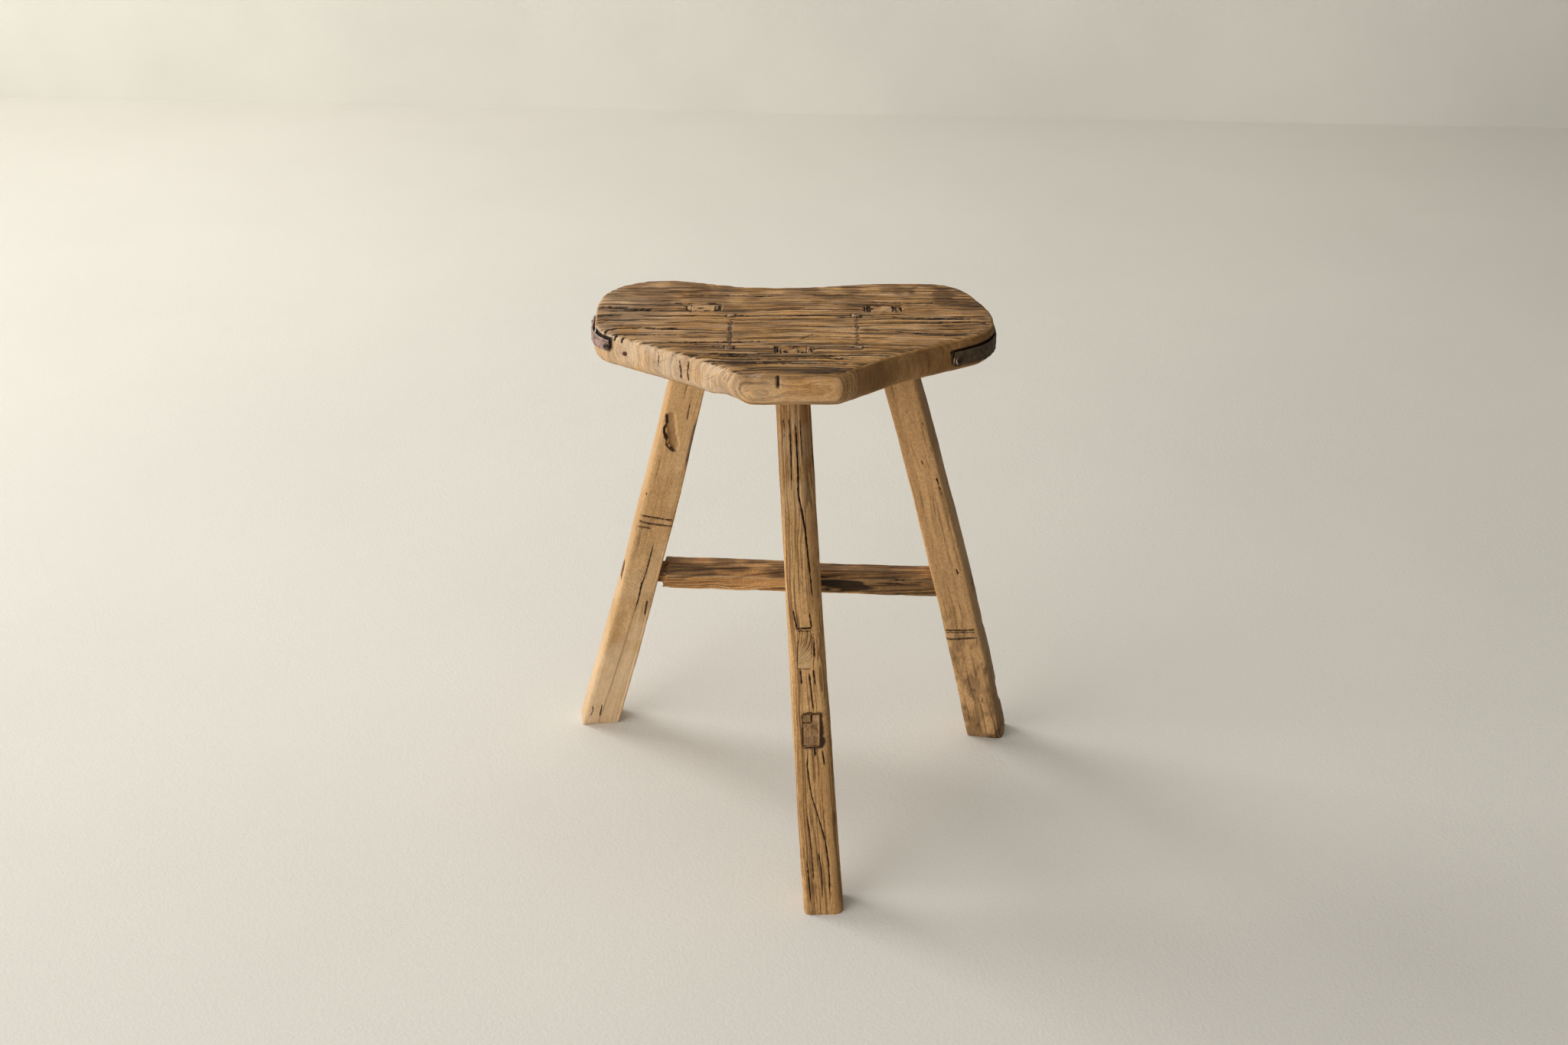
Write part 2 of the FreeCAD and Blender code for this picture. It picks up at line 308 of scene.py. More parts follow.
def set_grain(carving, origin, along, pith, warp):
    """Gives a piece its growth rings: for each point its place along the grain, its ring's radius and its
    place round the ring. pith is how far sideways and up from origin the tree's middle is."""
    along = np.asarray(along, float) / np.linalg.norm(along)
    side = np.cross(along, (0, 0, 1.0) if abs(along[2]) < 0.8 else (0, -1.0, 0))
    side /= np.linalg.norm(side)
    up = np.cross(side, along)
    p = carving.points - origin
    s, u, v = p @ along, p @ side, p @ up
    field = np.stack([s / 110, u / 34, v / 34], axis=1)
    fine = np.stack([s / 30, u / 11, v / 11], axis=1)
    u = u + warp * (3.0 * noise(field, carving.seed) + 1.0 * noise(fine, carving.seed + 1))
    v = v + warp * (3.0 * noise(field, carving.seed + 2) + 1.0 * noise(fine, carving.seed + 3))
    du, dv = u - pith[0], v - pith[1]
    ring = np.hypot(du, dv)
    # The angle is taken from the piece's middle, so that its jump falls outside the wood.
    arc = np.arctan2(pith[0] * dv - pith[1] * du, -pith[0] * du - pith[1] * dv) * ring
    carving.masks["grain"] = np.stack([s, ring, arc], axis=1)


def ring_lines(carving, spacing, half_width, length, seed, share=0.0):
    """Thin lines that follow the rings, from 0 to 1: one to each spacing, broken up along its length.
    share, one number or one per point, is how unbroken they are."""
    s, ring, _ = carving.masks["grain"].T
    place = ring / spacing
    number = np.round(place)
    key = np.stack([number, 0 * number, 0 * number], axis=1).astype(np.int64)
    shift = lattice(key, seed)
    off = np.abs(place - number - 0.28 * shift) * spacing
    broken = noise(np.stack([s / length + 40 * shift, number * 3.7, 0 * s], axis=1), seed + 1)
    width = half_width * (1 + 0.35 * lattice(key, seed + 2))
    return fall(off, 0.45 * width, width) * rise(broken, -0.15 - share, 0.35 - share)


# ---- materials


def colour(code):
    """A linear colour from a hex code."""
    parts = [int(code[i : i + 2], 16) / 255 for i in (0, 2, 4)]
    return [c / 12.92 if c <= 0.04045 else ((c + 0.055) / 1.055) ** 2.4 for c in parts] + [1.0]


class Nodes:
    """Short ways to build a material's node tree."""

    def __init__(self, name):
        self.material = bpy.data.materials.new(name)
        self.material.use_nodes = True
        self.tree = self.material.node_tree
        self.shader = self.tree.nodes["Principled BSDF"]

    def put(self, socket, value):
        if isinstance(value, bpy.types.NodeSocket):
            self.tree.links.new(value, socket)
        else:
            socket.default_value = value

    def set(self, name, value):
        self.put(self.shader.inputs[name], value)

    def add(self, kind, **inputs):
        node = self.tree.nodes.new(kind)
        for name, value in inputs.items():
            self.put(node.inputs[name.replace("_", " ")], value)
        return node

    def attribute(self, name, vector=False):
        node = self.tree.nodes.new("ShaderNodeAttribute")
        node.attribute_name = name
        return node.outputs["Vector" if vector else "Fac"]

    def place(self):
        return self.tree.nodes.new("ShaderNodeTexCoord").outputs["Object"]

    def stretch(self, vector, scale):
        node = self.tree.nodes.new("ShaderNodeVectorMath")
        node.operation = "MULTIPLY"
        self.put(node.inputs[0], vector)
        node.inputs[1].default_value = scale
        return node.outputs[0]

    def math(self, kind, a, b=0.0):
        node = self.tree.nodes.new("ShaderNodeMath")
        node.operation = kind
        node.use_clamp = kind in ("ADD", "SUBTRACT", "MULTIPLY")
        self.put(node.inputs[0], a)
        self.put(node.inputs[1], b)
        return node.outputs[0]

    def times(self, a, b):
        return self.math("MULTIPLY", a, b)

    def noise(self, vector, detail=2.0, roughness=0.5, scale=1.0):
        node = self.add("ShaderNodeTexNoise", Vector=vector, Scale=scale, Detail=detail, Roughness=roughness)
        return node.outputs["Fac"]

    def spread(self, value, low, high, to_low=0.0, to_high=1.0):
        node = self.tree.nodes.new("ShaderNodeMapRange")
        node.interpolation_type = "SMOOTHSTEP"
        for i, v in enumerate((value, low, high, to_low, to_high)):
            self.put(node.inputs[i], v)
        return node.outputs[0]

    def mix(self, share, a, b, kind="MIX"):
        node = self.tree.nodes.new("ShaderNodeMix")
        node.data_type = "RGBA"
        node.blend_type = kind
        self.put(node.inputs[0], share)
        self.put(node.inputs[6], a)
        self.put(node.inputs[7], b)
        return node.outputs[2]

    def shade(self, tint, level):
        """A colour made lighter or darker by a level of about 1."""
        grey = self.add("ShaderNodeCombineColor", Red=level, Green=level, Blue=level).outputs[0]
        return self.mix(1.0, tint, grey, "MULTIPLY")

    def relief(self, height, strength, distance):
        node = self.add("ShaderNodeBump", Strength=strength, Distance=distance * MM, Height=height)
        self.set("Normal", node.outputs[0])


def wood(name, palette, lines, share, bump, gap, scratch=0.0):
    """Bare old wood: its rings, fibres and pores follow the piece's grain, and its masks colour it with
    stains, wear, painted shade and painted highlights. palette is its light, middle and line colours, then
    those of its dark, pale and stain-and-shade masks. lines is the noise over which a line fades, share its
    strength, gap the lines' spacing and scratch the scratches' strength."""
    light, mid, line, black, pale, grey = (colour(code) for code in palette.split())
    n = Nodes(name)
    grain = n.attribute("grain", vector=True)
    place = n.place()
    ring = n.noise(n.stretch(grain, (0.004, 0.16, 0.02)), 2.0)
    thin = n.noise(n.stretch(grain, (0.009, 1 / gap, 0.06)), 3.0, 0.55)
    fibre = n.noise(n.stretch(grain, (0.045, 3.0, 0.9)), 3.0, 0.6)
    pore = n.noise(n.stretch(grain, (0.11, 2.3, 1.6)), 1.0)
    cloud = n.noise(place, 3.0, 0.55, scale=16.0)
    grit = n.noise(place, 2.0, 0.6, scale=420.0)

    base = n.mix(n.spread(ring, 0.36, 0.64), mid, light)
    base = n.mix(n.times(n.spread(fibre, 0.36, 0.64), 0.5), base, light)
    base = n.mix(n.times(n.spread(cloud, 0.40, 0.66), 0.35), base, mid)
    lined = n.spread(thin, lines[0], lines[1], 1.0, 0.0)
    loud = n.math("SUBTRACT", 1.0, n.attribute("calm"))
    base = n.mix(n.times(loud, n.times(lined, share)), base, line)
    dashes = n.spread(pore, 0.30, 0.38, 1.0, 0.0)
    base = n.mix(n.times(dashes, 0.7), base, line)
    base = n.shade(base, n.spread(grit, 0.35, 0.65, 0.88, 1.08))
    # The pale mask: bleached wood, and painted highlights.
    bleach_and_highlight = n.times(n.attribute("pale"), n.spread(fibre, 0.30, 0.60, 0.7, 1.0))
    base = n.mix(bleach_and_highlight, base, pale)
    base = n.mix(n.times(n.attribute("stain_and_shade"), n.spread(cloud, 0.30, 0.70, 0.6, 1.0)), base, grey)
    height = n.times(n.spread(thin, lines[0] - 0.04, lines[1] + 0.03), 0.55)
    height = n.math("ADD", height, n.times(fibre, 0.30))
    height = n.math("ADD", height, n.times(n.spread(pore, 0.30, 0.42), 0.15))
    if scratch:
        # Fine crossed scratches, where the wood is bleached.
        for lean in (0.9, -0.7):
            ways = ((0.72, -0.5, lean), (-0.5 * lean, 0.36 * lean, 0.9), (0.57, 0.82, 0))
            parts = []
            for way, scale in zip(ways, (30.0, 700.0, 60.0)):
                dot = n.tree.nodes.new("ShaderNodeVectorMath")
                dot.operation = "DOT_PRODUCT"
                n.put(dot.inputs[0], place)
                dot.inputs[1].default_value = [w * scale for w in way]
                parts.append(dot.outputs["Value"])
            turned = n.add("ShaderNodeCombineXYZ", X=parts[0], Y=parts[1], Z=parts[2]).outputs[0]
            cuts = n.spread(n.noise(turned, 1.0), 0.30, 0.36, 1.0, 0.0)
            cuts = n.times(cuts, n.times(n.attribute("pale"), scratch))
            base = n.mix(cuts, base, line)
            height = n.math("SUBTRACT", height, n.times(cuts, 0.3))
    base = n.mix(n.attribute("dark"), base, black)
    n.set("Base Color", base)
    n.set("Roughness", n.spread(fibre, 0.3, 0.7, 0.62, 0.86))
    n.set("Specular IOR Level", 0.3)
    n.relief(height, bump, 0.7)
    return n.material


def iron(name, palette, gloss):
    """Old forged iron, blotched with rust, brighter where it is worn and with painted highlights. palette is
    its dark, rust and worn colours, the worn one also used for the painted highlights, and gloss the
    roughness of its smoothest parts."""
    dark, rust, worn = (colour(code) for code in palette.split())
    n = Nodes(name)
    place = n.place()
    cloud = n.noise(place, 4.0, 0.62, scale=90.0)
    pits = n.noise(place, 3.0, 0.6, scale=700.0)
    base = n.mix(n.spread(cloud, 0.40, 0.62), dark, rust)
    base = n.mix(n.times(n.spread(pits, 0.50, 0.66), 0.5), base, dark)
    base = n.mix(n.attribute("pale"), base, worn)
    base = n.mix(n.attribute("dark"), base, colour("0a0705"))
    n.set("Base Color", base)
    n.set("Roughness", n.spread(cloud, 0.3, 0.7, gloss, 0.75))
    n.set("Metallic", 0.1)
    n.set("Specular IOR Level", 0.35)
    n.relief(n.math("ADD", pits, cloud), 0.6, 0.25)
    return n.material


SEAT_WOOD = wood(
    "seat_wood", "dca868 b27f43 573413 110903 dcc6aa 6a4824",
    lines=(0.42, 0.46), share=0.8, bump=1.0, gap=0.9, scratch=0.55
)
LEFT_LEG_WOOD = wood(
    "left_leg_wood", "dcb481 c89c66 9a6d3c 2a1a0d ecd2ae 8a663e",
    lines=(0.36, 0.40), share=0.4, bump=0.35, gap=1.4
)
RIGHT_LEG_WOOD = wood(
    "right_leg_wood", "d8aa74 bb9060 80592f 1c1108 e6caa0 6a4c2b",
    lines=(0.36, 0.40), share=0.45, bump=0.4, gap=1.4
)
FRONT_LEG_WOOD = wood(
    "front_leg_wood", "d2a46c b0824c 664222 1c1007 e4c69a 765430",
    lines=(0.42, 0.46), share=0.65, bump=0.6, gap=0.9
)
STRETCHER_WOOD = wood(
    "stretcher_wood", "d6a266 ac7a46 5c3a1c 0f0904 d4b88e 4a3522",
    lines=(0.40, 0.45), share=0.75, bump=0.6, gap=1.1
)
END_WOOD = wood(
    "end_wood", "b48a5e 906a40 4f341a 140c06 d2b084 6a4e32",
    lines=(0.40, 0.46), share=0.5, bump=0.8, gap=1.0
)
BAND_IRON = iron("band_iron", "6c5046 a4867a d2baac", 0.5)
OLIVE_IRON = iron("olive_iron", "3e3120 5a472b c0a08c", 0.7)
DARK_IRON = iron("dark_iron", "1a140d 38281a a08468", 0.6)
STAPLE_IRON = iron("staple_iron", "35261a 5c442d b8946c", 0.7)
RUSTY_IRON = iron("rusty_iron", "3a1d12 8a4c34 a06a50", 0.5)


# ---- the seat


def on_top(*places):
    """A line on the seat's top through (x, y) places."""
    return [(x, y, TOP) for x, y in places]


# The cracks and strongest grooves on the seat's top, as (x, y) places.
TOP_LINES = (
    (((-188, 84), (-172, 83), (-162, 81.5), (-148, 79), (-128, 75.5)), 2.3, 5.0),
    (((-181, 61), (-172, 63), (-158, 63)), 0.9, 1.5),
    (((-178, 48), (-170, 51), (-140, 50)), 0.7, 1.0),
    (((-176, 19), (-168, 28), (-158, 31.5), (-140, 32), (-122, 30.5), (-100, 32)), 1.1, 2.0),
    (((-158, 14), (-140, 15.5), (-118, 15), (-94, 15)), 0.8, 1.2),
    (((-168, 7), (-163, 14), (-158, 17)), 0.9, 1.8),
    (((-163, 1), (-158, 8), (-152, 11)), 0.8, 1.4),
    (((-120, -1), (-95, -2), (-60, -1), (-20, 0)), 1.0, 1.8),
    (((-92, -7), (-60, -9)), 0.8, 1.2),
    (((-98, -12), (-62, -13)), 0.8, 1.2),
    (((-80, -28), (-40, -29), (2, -28)), 0.9, 1.6),
    (((-80, -34), (-40, -33), (10, -34), (48, -31)), 0.9, 1.6),
    (((-73, -42), (-30, -42), (20, -41), (60, -38)), 1.1, 2.2),
    (((-66, -48), (-30, -49), (10, -47), (44, -47)), 0.9, 1.5),
    (((-60, -54), (-20, -53), (30, -52)), 0.9, 1.4),
    (((-125, 101), (-110, 100.5)), 0.8, 1.3),
    (((-118, 95), (-102, 93)), 0.8, 1.3),
    (((-108, 113), (-70, 113.5), (-50, 113), (-20, 112)), 0.8, 1.3),
    (((-118, 61.5), (-90, 61)), 0.8, 1.4),
    (((-60, 64), (-20, 61), (4, 60.5), (32, 63)), 1.0, 1.8),
    (((20, 113), (34, 112), (52, 113)), 0.8, 1.2),
    (((92, 57.5), (122, 56.5), (160, 55.5), (176, 52)), 0.9, 1.6),
    (((128, 47), (150, 45), (168, 46), (182, 40)), 1.1, 2.0),
    (((66, 27), (90, 24), (118, 19), (146, 18)), 0.8, 1.2),
    (((150, 112), (166, 110)), 0.8, 1.2),
    (((62, 96), (100, 95), (140, 94)), 0.7, 1.0),
    (((6, 4), (16, 15), (23, 13)), 0.5, 0.7),
)
# The cracks down the seat's edge.
EDGE_LINES = (
    (((-13.9, -75.6, 499), (-13.7, -75.8, 493), (-13.4, -75.9, 486)), 1.6, 3.0),
    (((-102, -29, 494), (-101, -30, 485), (-101, -30, 475)), 1.1, 2.2),
    (((-93, -35, 495), (-95, -34, 484), (-94, -35, 474)), 0.9, 1.8),
    (((-121, -16, 493), (-122, -15, 480)), 0.6, 1.0),
    (((-86, -41, 490), (-90, -38, 478)), 0.6, 0.8),
    (((105, -26, 492), (98, -30, 480)), 0.9, 1.4),
    (((112, -24, 494), (104, -27, 478)), 0.6, 0.9),
    (((143.5, -2, 490), (144.5, -1, 487)), 2.4, 2.5),
)
# The top's marks are carved this much larger than their listed widths and depths.
TOP_SCALE = 1.4


def listed(rows, draw=None, wider=1.0, deeper=1.0, **others):
    """Marks from rows of places, width and depth. draw, if any, turns the places into a line."""
    marks = []
    for places, width, depth in rows:
        line = draw(*places) if draw else places
        marks.append(dict(line=line, width=wider * width, depth=deeper * depth, **others))
    return marks


def tenon_outlines():
    """The low and high corners of each tenon where it comes out on the seat's top, from its outer wedges."""
    found = {}
    for leg in ("front", "rear_left", "rear_right"):
        corners = []
        for side in ("left", "right"):
            points = node_points(f"{leg}_tenon_wedge_{side}")
            corners.append(points[points[:, 2] > points[:, 2].max() - 0.5, :2])
        corners = np.concatenate(corners)
        found[leg] = (corners.min(0), corners.max(0))
    return found


def node_points(node):
    """A CAD node's own points, in millimetres."""
    return mesh_points(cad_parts[node].data)


def rim(low, high):
    """A closed line round a rectangle on the seat's top."""
    (x0, y0), (x1, y1) = low, high
    return on_top((x0, y0), (x1, y0), (x1, y1), (x0, y1), (x0, y0))


# The seat is rebuilt with its staples still in it, so that their thin slots close up.
SEAT_NODES = ["seat", "crack_staple_left", "crack_staple_right"]
HEAD_DEPTH = 4.5
# How far the wood has shrunk back from each end band.
BAND_GAPS = (("end_band_left", 2.0), ("end_band_right", 1.2))


# The gaps and pits round and across the wedged tenons, and how much wider they are than listed.
TENON_LINES = (
    (((-99.5, 83), (-98.8, 77.5), (-97, 75), (-94.2, 72.5), (-91.2, 75.5), (-90.7, 79)), 1.2, 1.8),
    (((-87, 73.5), (-82, 73.3)), 1.2, 1.4),
    (((-83.5, 75), (-79.5, 76.5), (-77, 79)), 1.5, 1.8),
    (((-74.5, 77), (-69.5, 77.5)), 2.3, 2.0),
    (((-68.6, 91.5), (-68.6, 77)), 1.1, 2.4),
    (((-90, 83), (-83.5, 83)), 0.7, 0.6),
    (((-79.7, 92.8), (-71.7, 92.8)), 0.8, 0.8),
    (((66.6, 82.1), (75, 82)), 1.1, 1.6),
    (((69.8, 91), (69.2, 72)), 1.0, 1.5),
    (((83, 73), (88, 73)), 1.6, 2.0),
    (((91, 90), (93.6, 87), (92.6, 74)), 1.1, 1.5),
    (((94.5, 85), (95.5, 79), (98, 80)), 0.8, 0.9),
    (((99.3, 84.6), (99, 80)), 0.9, 1.2),
    (((-15.4, -11), (-15.4, -25.5)), 1.7, 2.6),
    (((-12.6, -20.5), (-12.2, -22)), 1.2, 1.2),
    (((-7.3, -19.5), (-5.6, -24.8)), 1.4, 1.6),
    (((-1.5, -12.6), (5.7, -12.6)), 1.1, 1.7),
    (((4.4, -17.7), (4.4, -25.5)), 0.8, 0.9),
    (((7.4, -25), (8.8, -21.5)), 1.6, 2.0),
    (((16.2, -13.2), (17, -18), (16, -24.3)), 1.2, 2.0),
)
TENON_WIDTH = 1.35
# The lumps of worn end grain: their middles, half widths, heights and how pale they are.
LUMPS = (
    (-95.6, 84.0, 3.8, 7.0, 1.0, 0.7),
    (88.9, 81.5, 4.4, 7.0, 0.7, 0.25),
    (97.5, 81.0, 3.0, 5.5, 0.5, 0.4),
    (1.6, -19.5, 3.0, 6.0, 0.7, 0.4),
    (12.5, -19.5, 3.6, 6.0, 0.9, 0.35),
    (-10.5, -18.0, 4.2, 6.0, 0.5, 0.2),
    (-66.3, 83.0, 1.2, 8.0, 0.3, 0.6),
    (84.2, 84.0, 1.0, 8.0, 0.3, 0.6),
)


def tenon_marks():
    """The marks on the tenons, which cross from one piece to the next."""
    return listed(TENON_LINES, on_top, TENON_WIDTH, wander=0.5)


def raise_lumps(carving):
    """Raises the rounded lumps of worn end grain on the wedged tenons."""
    x, y, z = carving.points.T
    for cx, cy, rx, ry, height, pale in LUMPS:
        bulge = fall(np.hypot((x - cx) / rx, (y - cy) / ry), 0.2, 1.0)
        bulge *= rise(z, TOP - 4, TOP - 2)
        carving.sink -= height * bulge
        carving.mask("pale", pale * bulge)


def slot_marks():
    """The gaps round each tenon, and the slots and sunk heads of the two staples."""
    marks = []
    for low, high in TENONS.values():
        marks.append(dict(line=rim(low, high), width=0.8, depth=0.8, dark=0.35, wander=1.8))
    marks += tenon_marks()
    for side in ("left", "right"):
        points = node_points("crack_staple_" + side)
        (x0, y0), (x1, y1) = points[:, :2].min(0), points[:, :2].max(0)
        middle = (x0 + x1) / 2
        slot = on_top((middle, y0), (middle, y1))
        marks.append(dict(line=slot, width=1.2, depth=0.7, dark=0.85, wander=1.5))
        for y in (y0, y1 - HEAD_DEPTH):
            head = rim((x0 - 0.6, y - 0.6), (x1 + 0.6, y + HEAD_DEPTH + 0.6))
            marks.append(dict(line=head, width=1.3, depth=0.9, dark=0.85, wander=1.3))
    return marks


def groove_seat(seat):
    """The weathered grain: grooves along the rings on the top, and faint ones on the edge."""
    x, y = seat.points.T[:2]
    up = seat.normals[:, 2]
    # The top's grooves stop short of its sharper right rim.
    right = rise(x, 10, 60)
    level = rise(up, 0.70 + 0.17 * right, 0.94 + 0.04 * right)
    nose = rise(-y, -5, 25)
    share = 0.05 + 0.35 * nose - 0.05 * rise(y, 60, 120)
    strong = ring_lines(seat, 4.6, 1.5, 48, 21, share)
    # The same lines a little wider, so that a groove's walls are dark too: painted shade in the grooves.
    wide = ring_lines(seat, 4.6, 1.8, 48, 21, share)
    weak = ring_lines(seat, 2.3, 0.8, 26, 27, 0.2)
    seat.sink += level * (strong * (1.15 + 0.5 * nose) + 0.35 * weak) + (1 - level) * 0.12 * strong
    below = (1 - level) * rise(up, -0.9, -0.4)
    seat.mask("dark", level * (0.85 * wide + 0.35 * weak) + below * 0.10 * strong)
    # Paler ridges between the grooves: painted highlights of the relief.
    seat.mask("pale", level * 0.35 * ring_lines(seat, 3.3, 1.1, 26, 33, 0.1))
    seat.mask("pale", 0.30 * level * rise(-x, 90, 170) * patchy(seat.points, 30, 49, -0.7, 0.4))
    # The edge's lines are calm, and the nose's end shows its rings as ovals.
    front_end = rise(-y, 55, 66)
    seat.mask("calm", (0.75 - 0.15 * front_end + 0.2 * right) * (1 - level) * rise(up, -0.9, -0.6))
    oval = ring_lines(seat, 2.4, 0.55, 40, 29, 0.7) * front_end * (1 - level)
    seat.sink += 0.3 * oval
    seat.mask("dark", 0.42 * oval)


def wear_seat(seat):
    """Worn hollows, the softened rim with its chips, and the bleached left edge."""
    x, y, z = seat.points.T
    up = seat.normals[:, 2]
    seat.sink += 0.5 * rough(seat.points, 45, 31, 2)
    seat.sink += 0.16 * rough(seat.points, 6, 35, 2)
    left = rise(-x, -60, 90)
    edge = rise(z, TOP - 16, TOP - 4) * fall(up, 0.80, 0.98) * rise(up, -0.2, 0.3)
    chips = patchy(seat.points / (1.0, 1.0, 2.2), 9, 37, -0.1, 0.6)
    seat.sink += edge * (0.2 + (0.4 + 1.3 * left) * chips)
    seat.mask("pale", 0.8 * edge * left * (0.4 + 0.6 * chips))
    side = fall(np.abs(up), 0.5, 0.85)
    seat.sink += side * (0.15 + 0.35 * rise(np.abs(x), 150, 185))
    mottle = rough(seat.points, 22, 39)
    seat.mask("pale", side * rise(-x, 10, 75) * (0.50 + 0.25 * mottle))
    seat.mask("pale", side * rise(-y, 55, 70) * (0.18 + 0.2 * mottle))
    # The nose's lower left corner is worn away.
    corner = fall(np.hypot((x + 60) / 24, (y + 72) / 34), 0.35, 1.0)
    seat.sink += 4.0 * corner * fall(z, UNDERSIDE + 4, UNDERSIDE + 22)
    for band, gap in BAND_GAPS:
        places = node_points(band)
        low, high = places.min(0), places.max(0)
        behind = rise(x, low[0] - 6, low[0] + 1) * fall(x, high[0] - 1, high[0] + 6)
        behind *= rise(y, low[1] - 1, low[1] + 1) * fall(y, high[1] - 1, high[1] + 1) * fall(up, 0.5, 0.8)
        behind *= rise(z, low[2] + 1, low[2] + 4) * fall(z, high[2] + 1.2, high[2] + 2.6)
        seat.sink += gap * behind
        # The recess is darkened as well: painted shade in the gap behind the band.
        seat.mask("dark", 0.95 * behind)


def stain_and_shade_seat(seat):
    """Painted shade on the right side's edge faces, a darker right, rear and nose on the top, a few round
    stains and the dirty underside.
    """
    x, y = seat.points.T[:2]
    up = seat.normals[:, 2]
    stains = 0.45 * rise(-y, 50, 62) * rise(up, 0.6, 0.9)
    stains += 0.9 * fall(np.hypot((x - 118) / 24, (y - 128) / 13), 0.3, 1.4)
    for spot_x, spot_y in ((67, 25), (150, 15)):
        stains += 0.7 * fall(np.hypot(x - spot_x, y - spot_y) / 9, 0.2, 1.2)
    stains += (0.7 * rise(y, 40, 110) + 0.3 * rise(x, 40, 130)) * rise(up, 0.2, 0.8)
    seat.mask("stain_and_shade", stains * patchy(seat.points, 18, 43, -0.7, 0.4))
    # The edge faces on the right are darkened: painted shade for the side turned away from the light.
    side = fall(np.abs(up), 0.5, 0.85)
    seat.mask("stain_and_shade", side * rise(x, 38, 75) * (0.84 + 0.1 * rough(seat.points, 22, 45)))
    seat.mask("dark", 0.35 * fall(up, -0.95, -0.6) * patchy(seat.points, 30, 47, -0.4, 0.6))


def build_seat():
    seat = Carving(SEAT_NODES, SEAT_VOXEL, 11, rounds=2)
    marks = listed(TOP_LINES, on_top, TOP_SCALE, TOP_SCALE, flat=True)
    marks += listed(EDGE_LINES, dark=0.9) + slot_marks()
    seat.prepare(marks)
    # The rings circle a line along the plank in front of the nose, so the nose shows long ovals.
    set_grain(seat, (0, 0, 0), (1, 0, 0), (108.0, 487.0), warp=1.2)
    groove_seat(seat)
    wear_seat(seat)
    raise_lumps(seat)
    stain_and_shade_seat(seat)
    seat.finish("seat_plank", "seat", "seat_wood", SEAT_WOOD, marks)


# ---- the legs


class LegFrame:
    """A leg's own frame, measured from its mesh: heights, and places across and into its section."""

    def __init__(self, points, turn):
        a = math.radians(turn)
        self.across = np.array([math.cos(a), math.sin(a)])
        self.into = np.array([-math.sin(a), math.cos(a)])
        u, v = points[:, :2] @ self.across, points[:, :2] @ self.into
        rows = []
        for z in np.arange(4.0, UNDERSIDE - 3, 12.0):
            near = np.abs(points[:, 2] - z) < 1.0
            rows.append((z, u[near].min(), u[near].max(), v[near].min(), v[near].max()))
        self.rows = np.array(rows).T

    def at(self, z):
        """The section's left, right, front and back at each height."""
        return [np.interp(z, self.rows[0], row) for row in self.rows[1:]]

    def local(self, points):
        """Each point's place across the leg, into it, and the leg's half width and half depth there."""
        left, right, front, back = self.at(points[:, 2])
        u = points[:, :2] @ self.across - (left + right) / 2
        v = points[:, :2] @ self.into - (front + back) / 2
        return u, v, (right - left) / 2, (back - front) / 2

    def on_face(self, *places):
        """A line on the front face through (height, across) places."""
        line = []
        for z, across in places:
            left, right, front, _ = self.at(z)
            x, y = self.across * ((left + right) / 2 + across) + self.into * front
            line.append((x, y, z))
        return line


# The marks on each leg's front face, as (height, across) places.
# The long crack, the cracks from the centre stretcher's tenon and those down to the plug.
FRONT_LINES = (
    (((466, 0), (430, 0.5), (400, 0.5), (380, -0.5), (368, 1.5), (350, 4), (330, 5), (305, 6.5), (280, 7.5)),
     0.9, 2.5),
    (((464, -6), (440, -5), (415, -5), (385, -6)), 0.7, 1.5),
    (((455, -12), (440, -10), (425, -11)), 0.8, 1.5),
    (((466, 4), (440, 4.5), (410, 5)), 0.6, 1.2),
    (((281, -12), (270, -10), (261.5, -8.5)), 0.9, 2.5),
    (((261.5, -8.5), (262, 5)), 1.1, 2.8),
    (((262, 5), (276, 3.5)), 0.7, 1.8),
    (((254, 5.6), (236, 5.8)), 1.2, 2.5),
    (((225, -8), (212, -7)), 0.9, 2.0),
    (((225, 4), (211, 5)), 0.8, 1.8),
    (((222, 0), (206, 1), (194, 1.5), (188, 2)), 0.8, 2.0),
    (((156, -5), (138, -7), (112, -5), (92, 0), (70, 5), (48, 7), (12, 6)), 0.8, 1.4),
    (((156, 1), (147, 1)), 1.0, 1.8),
    (((152, 8), (138, 9)), 0.9, 1.5),
    (((62, -15), (42, -13), (12, -12)), 0.9, 1.5),
    (((98, -11), (80, -9), (52, -8), (30, -8)), 0.6, 0.9),
    (((60, -2), (40, 0), (14, -1)), 0.6, 0.9),
)
# The worn knot's edge, the three scribed lines, the split beside the long facet and small nicks.
LEFT_LINES = (
    (((391, -17), (385, -13.5), (378, -11.5), (373, -13.5), (368, -12.5), (361, -8.5), (356, -8)), 1.7, 3.0),
    (((356, -8.5), (351, -5.5), (346.5, 0), (345.5, 3.5)), 1.3, 1.6),
    (((273, -22), (268, -4), (262, 20)), 1.0, 1.2),
    (((267, -22), (261, -7), (255, 20)), 1.0, 1.2),
    (((259, -21), (254.5, -2)), 0.8, 0.8),
    (((236, 4), (200, 4.2), (186, 3), (170, 3.4), (150, 3)), 0.8, 1.0),
    (((188, 2.5), (170, 3.2)), 1.1, 1.8),
    (((298, -17.5), (295, -16.5)), 1.7, 2.5),
    (((202, -20.5), (198, -20.3)), 1.6, 2.5),
    (((101, -20.5), (97, -20)), 1.6, 2.5),
    (((163, 13), (150, 14), (143, 15)), 1.2, 1.6),
    (((27, -4), (10, -3)), 0.8, 0.8),
    (((26, -14), (20, -12), (12, -13)), 0.7, 0.7),
    (((400, 6), (380, 7)), 0.6, 0.8),
)
